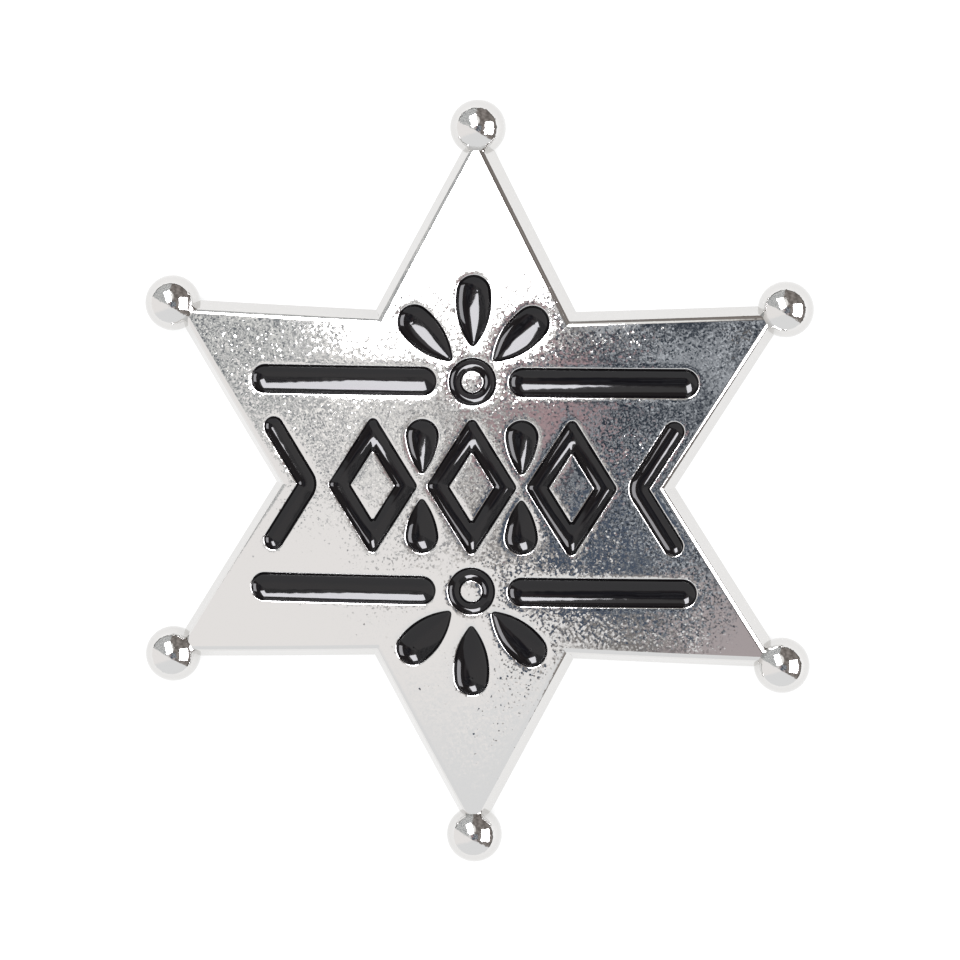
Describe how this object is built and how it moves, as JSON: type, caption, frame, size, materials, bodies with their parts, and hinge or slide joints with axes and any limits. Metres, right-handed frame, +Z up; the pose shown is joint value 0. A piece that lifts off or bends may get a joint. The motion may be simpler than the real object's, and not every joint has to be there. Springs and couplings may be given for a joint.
{
  "type": "sheriff star badge",
  "caption": "Domed six-point star badge in bright cast metal with ball tips, black enamel ornament in sunk wells and a plain brooch pin on its hollow back.",
  "frame": {"origin": "middle of the badge, on the surface that its ball tips stand on", "axes": "+Z up, out of the face; +Y along the top arm"},
  "size_m": [0.0614, 0.07, 0.0065],
  "materials": {
    "nickel_plated_zinc": "polished die-cast zinc with bright nickel plate",
    "black_enamel": "glossy black soft enamel",
    "nickel_plated_steel": "stamped and drawn steel with nickel plate"
  },
  "bodies": {
    "root": {"star_plate": "nickel_plated_zinc", "bar_1": "black_enamel", "bar_2": "black_enamel", "bar_3": "black_enamel", "bar_4": "black_enamel", "ring_1": "black_enamel", "ring_2": "black_enamel", "petal_1": "black_enamel", "petal_2": "black_enamel", "petal_3": "black_enamel", "petal_4": "black_enamel", "petal_5": "black_enamel", "petal_6": "black_enamel", "lozenge_1": "black_enamel", "lozenge_2": "black_enamel", "lozenge_3": "black_enamel", "drop_1": "black_enamel", "drop_2": "black_enamel", "drop_3": "black_enamel", "drop_4": "black_enamel", "chevron_1": "black_enamel", "chevron_2": "black_enamel", "brooch_pin": "nickel_plated_steel"}
  },
  "joints": []
}
